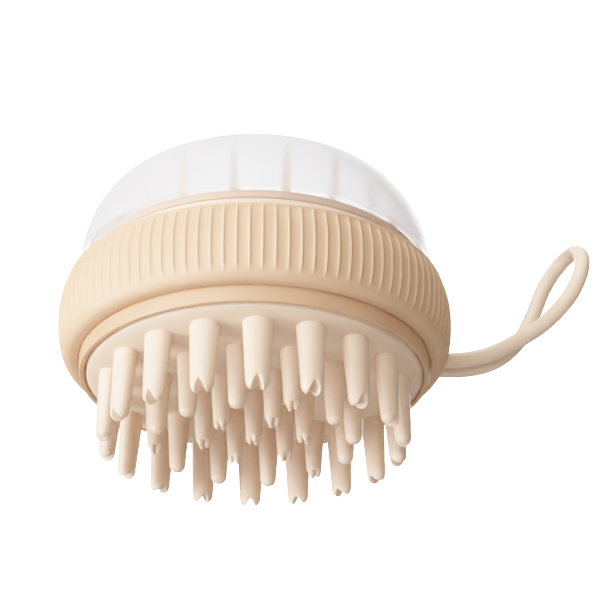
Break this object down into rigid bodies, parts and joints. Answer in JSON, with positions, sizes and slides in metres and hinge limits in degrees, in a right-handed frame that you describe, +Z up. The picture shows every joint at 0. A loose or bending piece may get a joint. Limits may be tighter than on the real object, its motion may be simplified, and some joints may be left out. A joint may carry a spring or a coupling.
{
  "type": "scalp massager brush",
  "caption": "Round palm-held scalp massager: soft tapered bristles under a fluted grip ring, with a frosted lift-off dome and a cord loop.",
  "frame": {"origin": "on the brush's axis, on the plane of the outer bristles' tips", "axes": "+Z up through the dome, bristles point to -Z; the hanging loop leaves the ring towards +X"},
  "size_m": [0.1112, 0.08, 0.0602],
  "materials": {
    "bristle_silicone": "satin silicone",
    "tan_rubber": "satin soft-touch",
    "tan_plastic": "satin",
    "inner_plastic": "satin",
    "crown_plastic": "satin",
    "frosted_plastic": "frosted translucent",
    "screw_steel": "zinc plated"
  },
  "bodies": {
    "body": {"core_body": "inner_plastic", "grip_ring": "tan_rubber", "bezel_ring": "tan_plastic", "bristle_pad": "bristle_silicone", "pad_backing_plate": "inner_plastic", "body_screw_1": "screw_steel", "body_screw_2": "screw_steel", "body_screw_3": "screw_steel", "neck_seal": "tan_rubber", "support_crown": "crown_plastic", "loop_anchor": "bristle_silicone", "hanging_loop": "bristle_silicone"},
    "dome": {"dome_cover": "frosted_plastic"}
  },
  "joints": [
    {"name": "dome_lift", "type": "slide", "parent": "body", "child": "dome", "axis": [0, 0, 1], "range_m": [0, 0.03]}
  ]
}
